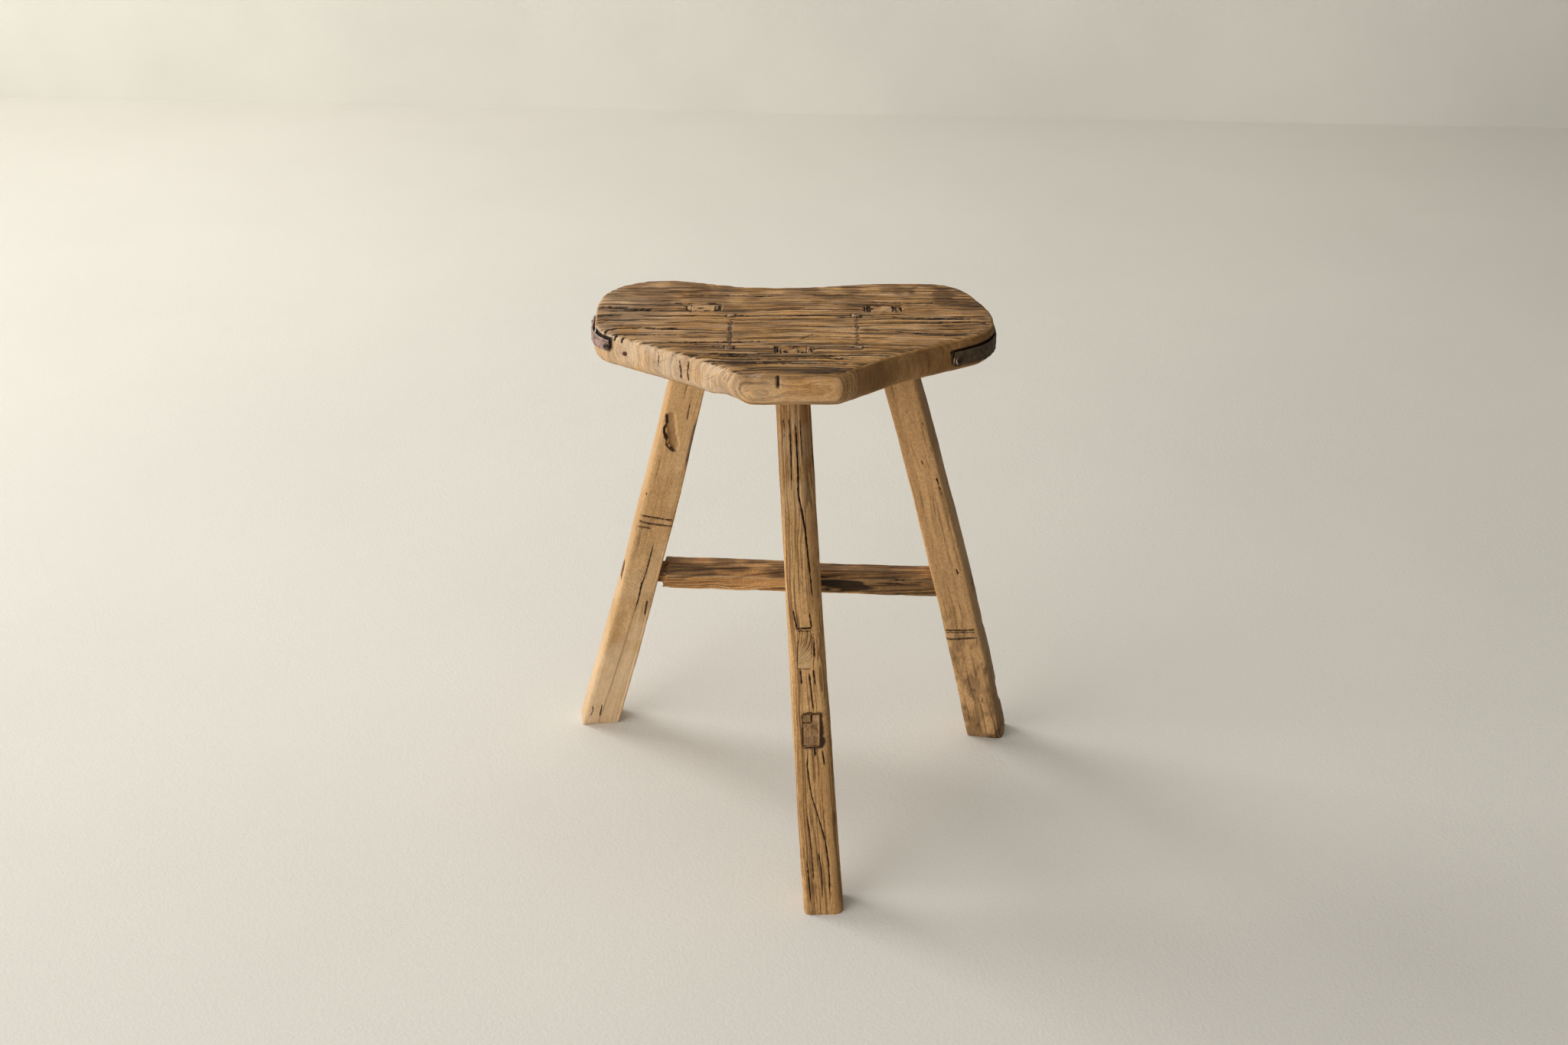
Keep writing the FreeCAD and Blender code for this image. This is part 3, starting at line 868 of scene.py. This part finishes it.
# The split by the right edge, the three scribed lines and small nicks.
RIGHT_LINES = (
    (((324, 13), (312, 13.6), (296, 14.2)), 1.1, 2.5),
    (((136.5, -19), (138.5, 0), (142, 24)), 1.1, 1.3),
    (((133.5, -19), (136, 0), (138.5, 24)), 0.7, 0.8),
    (((125, -19), (128, 0), (132.5, 24)), 1.1, 1.3),
    (((128, -17), (122, -17.5)), 1.2, 1.4),
    (((384, 13), (380, 13.5)), 1.2, 1.5),
    (((341, 2), (336, 3)), 0.9, 0.8),
    (((296, 14), (250, 14.5), (215, 15)), 0.6, 0.8),
    (((215, 10), (209, 11)), 0.9, 1.0),
    (((120, 20), (90, 19), (62, 20)), 1.6, 2.2),
)
# Each leg's turn about Z in degrees, its marks, its pith (across and into it), how far its rings wander, and
# how much fuller its left and right sides are than the CAD's.
LEG_SHAPES = {
    "front": (2.0, FRONT_LINES, (48, 70), 0.9, (1.5, 0.4)),
    "rear_left": (7.5, LEFT_LINES, (-40, 45), 0.9, (0.5, 1.5)),
    "rear_right": (-11.0, RIGHT_LINES, (35, 60), 0.8, (0.2, 1.1)),
}


class Leg(Carving):
    """A leg being carved, with each point's place on the leg and the way its surface faces."""

    def __init__(self, name, seed):
        super().__init__([name + "_leg"], LEG_VOXEL, seed, rounds=1)
        self.name = name
        turn, lines, pith, warp, self.trim = LEG_SHAPES[name]
        self.measured = LegFrame(self.points, turn)
        self.marks = listed(lines, self.measured.on_face, dark=0.9) + tenon_marks()
        self.prepare(self.marks)
        self.u, self.v, self.half_width, self.half_depth = self.measured.local(self.points)
        self.z = self.points[:, 2]
        self.across = self.normals[:, :2] @ self.measured.across
        self.front = rise(-(self.normals[:, :2] @ self.measured.into), 0.3, 0.8)
        run = np.array(self.measured.on_face((400, 0), (100, 0)))
        set_grain(self, run[1], run[0] - run[1], pith, warp)


def dress_leg(leg):
    """Hand-dressed faces, softened arrises, and grain that stands out where the wood is most weathered."""
    points, z, seed = leg.points, leg.z, leg.seed
    body = fall(z, UNDERSIDE - 3, UNDERSIDE)
    left, right = leg.trim
    leg.sink -= body * (left * rise(-leg.across, 0.3, 0.9) + right * rise(leg.across, 0.3, 0.9))
    leg.sink += body * 0.5 * rough(points, 52, seed + 5, 2)
    leg.sink += body * 0.10 * rough(points, 7, seed + 9, 2)
    wide = np.abs(leg.u) / leg.half_width
    deep = np.abs(leg.v) / leg.half_depth
    corner = rise(wide, 0.86, 1.0) * rise(deep, 0.86, 1.0)
    leg.sink += body * corner * (0.1 + 0.8 * patchy(points / (1, 1, 2.0), 12, seed + 13, -0.1, 0.8))
    leg.sink += fall(z, 0, 9) * rise(np.maximum(wide, deep), 0.8, 1.0) * 0.2
    weather = {
        "front": -0.4 + 0.8 * rise(z, 320, 430) + 0.2 * fall(z, 20, 120),
        "rear_left": -0.75 + 0 * z,
        "rear_right": -0.7 + 0.6 * fall(z, 40, 130),
    }[leg.name]
    cut = ring_lines(leg, 2.8, 0.7, 45, seed + 17, weather)
    leg.sink += body * 0.7 * cut
    leg.mask("dark", 0.45 * cut * body)


def wear_front_leg(leg):
    points, u, z, front = leg.points, leg.u, leg.z, leg.front
    for side, part in ((-1, 0.3), (1, 0.6)):
        leg.mask("stain_and_shade", part * rise(side * u / leg.half_width, 0.5, 1.0) * patchy(points, 22, 5, -0.4, 0.6))
    leg.mask("stain_and_shade", 0.8 * fall(z, 20, 80) * rise(-u, 1, 10) * patchy(points, 9, 6, -0.3, 0.7))
    # A flat is worn on the right of the face.
    worn = rise(u, 3.0, 5.0) * rise(z, 240, 300) * front
    leg.sink += 0.8 * worn
    leg.mask("stain_and_shade", 0.5 * worn)
    leg.mask("pale", 0.25 * rise(z, 330, 400) * front * patchy(points / (1, 1, 3), 10, 16, -0.6, 0.3))
    # The ragged hollow round the old mortise's plug.
    outside = np.hypot(np.maximum(np.abs(u - 0.5) - 7, 0), np.maximum(np.abs(z - 170) - 13, 0))
    outside += 1.3 * rough(points, 5, 7)
    leg.mask("stain_and_shade", 0.9 * fall(outside, 1, 6) * front)
    leg.mask("dark", 0.9 * fall(outside, 1.8, 3.6) * front)
    leg.sink += fall(outside, 1, 4) * front * 1.1


def wear_left_leg(leg):
    points, u, z, front = leg.points, leg.u, leg.z, leg.front
    # The hollow of a worn knot.
    knot = leg.measured.on_face((386, -10), (374, -7), (362, -3.0), (352, 0.5))
    d, _ = line_distance(points, knot)
    d += 0.9 * noise(points / 4, 5)
    leg.sink += 3.4 * fall(d, 3.4, 5.2)
    leg.mask("stain_and_shade", 0.45 * fall(d, 2, 5.5))
    # The lower facet beside the long split.
    facet = rise(u - np.interp(z, (0, 100, 236), (-3, 1, 4)), -0.6, 1.2) * fall(z, 215, 250) * front
    leg.sink += facet
    leg.mask("pale", 0.2 * facet)
    # Saw marks slant across the face below the scribed lines.
    saw = np.sin((z + 0.95 * u) * 2 * math.pi / 3.9 + 2.0 * rough(points, 30, 8))
    band = rise(z, 168, 190) * fall(z, 240, 252) * front * fall(u, 2, 8)
    band *= rise(noise(points / (9, 9, 14), 9), -0.5, 0.3)
    leg.sink += 0.3 * band * rise(saw, 0.2, 0.9)
    leg.mask("dark", 0.45 * band * rise(saw, 0.3, 0.9))
    leg.mask("pale", 0.55 * fall(z, 60, 260) * patchy(points, 30, 15, -0.8, 0.4))
    leg.mask("stain_and_shade", 0.25 * front * patchy(points, 26, 14, 0.1, 0.8))
    # The left-facing side is darkened: painted shade that tones down the light on it.
    leg.mask("stain_and_shade", 0.35 * rise(-leg.across, 0.35, 0.8))
    leg.mask("dark", 0.75 * rise(leg.across, 0.1, 0.6) * rise(z, 322, 335) * fall(z, 372, 385))


def wear_right_leg(leg):
    points, z = leg.points, leg.z
    right = leg.u / leg.half_width
    leg.mask("stain_and_shade", 0.95 * fall(z, 10, 95) * patchy(points, 16, 8, -0.6, 0.3))
    leg.mask("stain_and_shade", 0.7 * fall(z, 110, 215) * patchy(points / (1, 1, 3), 6, 9, 0.0, 0.6))
    leg.mask("stain_and_shade", 0.6 * rise(right, 0.86, 1.0))
    leg.mask("dark", 0.6 * fall(z, 20, 200) * patchy(points / (1, 1, 2.5), 5, 12, 0.55, 0.95))
    leg.mask("pale", 0.6 * rise(-leg.across, 0.4, 0.8) * rise(z, 210, 250) * fall(z, 300, 340))
    # The waney edge near the foot.
    leg.sink += 1.6 * rise(right, 0.7, 1.0) * fall(z, 120, 150) * patchy(points, 24, 19, -0.2, 0.7, 2)


def build_leg(name, seed, material, wear):
    leg = Leg(name, seed)
    dress_leg(leg)
    wear(leg)
    # The tenon in the seat is a little smaller than its mortise, and its top is lumpy end grain.
    leg.sink += rise(leg.z, UNDERSIDE + 2, UNDERSIDE + 5) * 0.35
    top = rise(leg.z, TOP - 4, TOP - 2)
    leg.sink += top * (0.5 + 0.45 * rough(leg.points, 5.0, seed + 21))
    leg.mask("stain_and_shade", top * 0.5)
    raise_lumps(leg)
    leg.finish(name + "_post", name + "_leg", "leg_wood", material, leg.marks)


# ---- the stretchers


# The cracks on the rear stretcher's front, as (x, height over its middle) places.
REAR_LINES = (
    (((-120, -2), (-96, -2.5), (-72, -2), (-50, -3)), 0.9, 1.8),
    (((-92, -3.6), (-66, -3.4)), 1.1, 2.2),
    (((-150, 5), (-110, 4.5), (-70, 5.5)), 0.7, 1.2),
    (((60, -1), (90, 0), (128, -1)), 0.8, 1.4),
    (((100, 4), (140, 3)), 0.8, 1.4),
    (((72, -7), (86, -6)), 1.0, 1.6),
)


def build_rear_stretcher():
    low, high = box("rear_stretcher")
    middle = (low + high) / 2

    def on_front(*places):
        return [(x, low[1] + 2.2, middle[2] + z) for x, z in places]

    bar = Carving(["rear_stretcher"], REAR_STRETCHER_VOXEL, 71, rounds=1)
    marks = listed(REAR_LINES, on_front, dark=0.9)
    bar.prepare(marks)
    x, z = bar.points[:, 0], bar.points[:, 2]
    ahead = rise(-bar.normals[:, 1], 0.3, 0.7)
    set_grain(bar, middle, (1, 0, 0), (-18, 26), warp=1.3)
    bar.sink -= 0.3
    bar.sink += 0.7 * rough(bar.points / (2, 1, 1), 26, 72, 2) + 0.12 * rough(bar.points, 6, 75, 2)
    cut = ring_lines(bar, 3.0, 0.9, 40, 77, 0.15)
    bar.sink += 0.7 * cut
    bar.mask("dark", 0.6 * cut)
    # The upper half is dirtier than the lower, with a bright worn arris between them.
    edge = middle[2] + 3.2 + 1.2 * noise(bar.points / 25, 73)
    dirt = patchy(bar.points / (2.5, 1, 1), 14, 78, -0.9, 0.1)
    bar.mask("stain_and_shade", 0.95 * rise(z, edge - 1, edge + 1.5) * dirt)
    bar.mask("pale", 0.40 * fall(np.abs(z - edge), 0.3, 1.8) * ahead)
    bar.mask("stain_and_shade", 0.75 * rise(x, 10, 50) * patchy(bar.points, 30, 79, -0.8, 0.1))
    # The left end is darkened right through: painted shade, so that it reads as a dark gap under the seat's
    # end.
    bar.mask("stain_and_shade", fall(x, low[0] + 38, low[0] + 44))
    # A shallow gouge right of the centre stretcher, darkened: a painted shadow of the centre stretcher over
    # the gouge.
    gouge_and_painted_shadow = fall(np.hypot((x - 44) / 40, (z - middle[2] + 4.5) / 7.5), 0.8, 1.15) * ahead
    gouge_and_painted_shadow *= patchy(bar.points / (3, 1, 1), 7, 74, -0.8, -0.1)
    bar.mask("dark", 0.92 * gouge_and_painted_shadow)
    bar.sink += 1.4 * gouge_and_painted_shadow
    bar.finish("rear_stretcher_bar", "rear_stretcher", "stretcher_wood", STRETCHER_WOOD, marks)


def build_centre_stretcher():
    low, high = box("centre_stretcher")
    bar = Carving(["centre_stretcher"], CENTRE_STRETCHER_VOXEL, 81, rounds=1)
    bar.prepare()
    y = bar.points[:, 1]
    start = np.array([(low[0] + high[0]) / 2, low[1], high[2] - 18])
    end = np.array([(low[0] + high[0]) / 2, high[1], low[2] + 9])
    set_grain(bar, start, end - start, (-22, 20), warp=1.0)
    bar.sink += 0.5 * rough(bar.points, 40, 82, 2) + 0.12 * rough(bar.points, 6, 85, 2)
    cut = ring_lines(bar, 3.0, 0.9, 40, 87, 0.15)
    end_face = fall(y, low[1] + 3, low[1] + 8)
    bar.sink += 0.6 * cut * (1 - end_face)
    bar.mask("dark", 0.5 * cut * (1 - end_face))
    bar.mask("pale", 0.30 * end_face)
    bar.finish("centre_stretcher_bar", "centre_stretcher", "stretcher_wood", FRONT_LEG_WOOD)


# ---- wedges, plug and iron


def build_small_wood(name, node, slot, lump, seed):
    """A wedge or plug: a rough little block of wood with broken edges."""
    block = Carving([node], SMALL_VOXEL, seed, rounds=3)
    block.prepare()
    set_grain(block, block.points.mean(0), (0, 0, 1), (-15, 12), warp=0.4)
    lumps = rough(block.points, 6.0, seed + 3)
    block.sink += 0.1 + lump * (0.5 + 0.45 * lumps)
    block.mask("dark", 0.55 * rise(lumps, 0.3, 0.9))
    block.mask("stain_and_shade", 0.6 * patchy(block.points, 7, seed + 6, -0.5, 0.5))
    block.mask("pale", 0.35 * rise(-lumps, 0.2, 0.8))
    raise_lumps(block)
    block.finish(name, node, slot, END_WOOD, tenon_marks())


def build_iron(name, node, material, pitting, seed, worn=0.3):
    """A staple, band or nail: forged, pitted and rounded by rust."""
    piece = Carving([node], IRON_VOXEL, seed, rounds=3)
    piece.prepare()
    y, z = piece.points[:, 1], piece.points[:, 2]
    piece.sink += pitting * rough(piece.points, 3.2, seed + 1, 3)
    piece.mask("pale", worn * patchy(piece.points, 5, seed + 4, 0.0, 0.7))
    # The top edge is paler: a painted highlight along it.
    piece.mask("pale", 0.6 * worn * rise(z, z.max() - 1.4, z.max() - 0.4))
    if node == "end_band_right":
        # A curl stands up at the band's front end, with a painted highlight on it.
        curl = np.hypot((y - y.min() - 1.4) / 0.9, (z - z.mean() + 1.5) / 4.0)
        curl += 0.3 * rough(piece.points, 3, 61)
        piece.mask("pale", fall(curl, 0.7, 1.0))
        piece.sink -= 0.8 * fall(curl, 0.5, 1.0)
    if "staple" in node:
        # The two heads stand up from the bar between them, and are brighter.
        middle, reach = (y.min() + y.max()) / 2, (y.max() - y.min()) / 2 - HEAD_DEPTH
        head = rise(np.abs(y - middle), reach - 0.5, reach + 0.5)
        piece.sink += 0.35 * (1 - head) - 0.5 * head * rise(piece.normals[:, 2], 0.3, 0.9)
        piece.mask("pale", 0.85 * head * patchy(piece.points, 3, seed + 6, -0.5, 0.3))
    piece.finish(name, node, "iron", material)


TENONS = tenon_outlines()
build_seat()
LEGS = (
    ("front", FRONT_LEG_WOOD, wear_front_leg),
    ("rear_left", LEFT_LEG_WOOD, wear_left_leg),
    ("rear_right", RIGHT_LEG_WOOD, wear_right_leg),
)
# The second of a pair of small pieces takes a seed this much higher than the first.
NEXT_SEED = 9
for number, (leg_name, leg_material, wear) in enumerate(LEGS):
    build_leg(leg_name, 100 + 30 * number, leg_material, wear)
    for second, side in enumerate(("left", "right")):
        wedge = f"{leg_name}_tenon_wedge_{side}"
        build_small_wood(wedge + "_block", wedge, "wedge_wood", 1.0, 200 + 20 * number + second * NEXT_SEED)
build_rear_stretcher()
build_centre_stretcher()
build_small_wood("plug_block", "mortise_plug", "filler_wood", 1.4, 301)
build_small_wood("plug_wedge_block", "mortise_plug_wedge", "filler_wood", 0.8, 311)
SIDES = (("left", BAND_IRON, 0.4), ("right", OLIVE_IRON, 0.08))
for second, (side, band_iron, band_worn) in enumerate(SIDES):
    build_iron("staple_" + side, "crack_staple_" + side, STAPLE_IRON, 0.35, 400 + second * NEXT_SEED)
    build_iron("band_" + side, "end_band_" + side, band_iron, 0.3, 420 + second * NEXT_SEED, band_worn)
    for last, end in enumerate(("front", "rear")):
        build_iron(f"nail_{side}_{end}", f"band_nail_{side}_{end}", DARK_IRON, 0.2, 440 + last * NEXT_SEED)
build_iron("edge_nail_rusty", "edge_nail", RUSTY_IRON, 0.2, 470)


# ---- floor, wall, light and camera


def plain_material(name, tint, mottle, grain_scale):
    """Matt painted plaster: one pale tint, slightly mottled and rough."""
    n = Nodes(name)
    place = n.place()
    cloud = n.noise(place, 4.0, 0.55, scale=1.6)
    shade = n.spread(cloud, 0.3, 0.7, 1 - mottle, 1 + mottle)
    n.set("Base Color", n.shade(tint, shade))
    n.set("Roughness", 0.85)
    n.set("Specular IOR Level", 0.2)
    n.relief(n.noise(place, 3.0, 0.6, scale=grain_scale), 0.25, 1.5)
    return n.material


def plane(name, corners, material):
    """A flat backdrop piece through four corners in metres."""
    mesh = bpy.data.meshes.new(name)
    mesh.from_pydata(corners, [], [(0, 1, 2, 3)])
    mesh.materials.append(material)
    made = bpy.data.objects.new(name, mesh)
    scene.collection.objects.link(made)


WALL_LEFT = Vector((-6.0, 2.83, 0.0))
WALL_RIGHT = Vector((6.0, 2.01, 0.0))
WALL_HEIGHT = Vector((0, 0, 4.0))
FLOOR_FRONT = -6.0
plane("floor", [(WALL_LEFT.x, FLOOR_FRONT, 0), (WALL_RIGHT.x, FLOOR_FRONT, 0), WALL_RIGHT[:], WALL_LEFT[:]],
      plain_material("floor_paint", colour("dcd7cc"), 0.02, 260.0))
plane("wall", [WALL_LEFT[:], WALL_RIGHT[:], (WALL_RIGHT + WALL_HEIGHT)[:], (WALL_LEFT + WALL_HEIGHT)[:]],
      plain_material("wall_plaster", colour("dcd8cd"), 0.05, 60.0))


# Each light's place, its width and height, and its power. All of them face the stool.
LIGHTS = (
    ("window", (-5.0, -3.0, 2.1), (6.0, 4.2), 272),
    ("window_near", (-3.2, -3.0, 1.8), (2.6, 2.0), 25),
    ("window_wall", (-2.6, 1.5, 2.4), (1.6, 1.6), 62),
    ("ceiling", (-0.4, 0.2, 3.4), (3.4, 3.4), 33),
    ("room", (-1.0, -4.0, 2.4), (3.0, 2.4), 14),
)
STOOL_MIDDLE = Vector((0, 0, 0.3))
for name, place, (width, height), power in LIGHTS:
    light = bpy.data.lights.new(name, "AREA")
    light.shape = "RECTANGLE"
    light.size = width
    light.size_y = height
    light.energy = power
    lamp = bpy.data.objects.new(name, light)
    lamp.location = place
    lamp.rotation_euler = (STOOL_MIDDLE - Vector(place)).to_track_quat("-Z", "Y").to_euler()
    scene.collection.objects.link(lamp)
world = bpy.data.worlds.new("room")
world.use_nodes = True
world.node_tree.nodes["Background"].inputs["Color"].default_value = (1.0, 1.0, 1.0, 1.0)
world.node_tree.nodes["Background"].inputs["Strength"].default_value = 0.07
scene.world = world
scene.view_settings.view_transform = "Standard"

CAMERA_PITCH = 27.0
camera = bpy.data.objects.new("camera", bpy.data.cameras.new("camera"))
camera.data.lens = 50.0
camera.data.sensor_width = 36.0
camera.location = (-0.00864, -1.82042, 1.24404)
camera.rotation_euler = (math.radians(90 - CAMERA_PITCH), 0, 0)
scene.collection.objects.link(camera)
scene.camera = camera
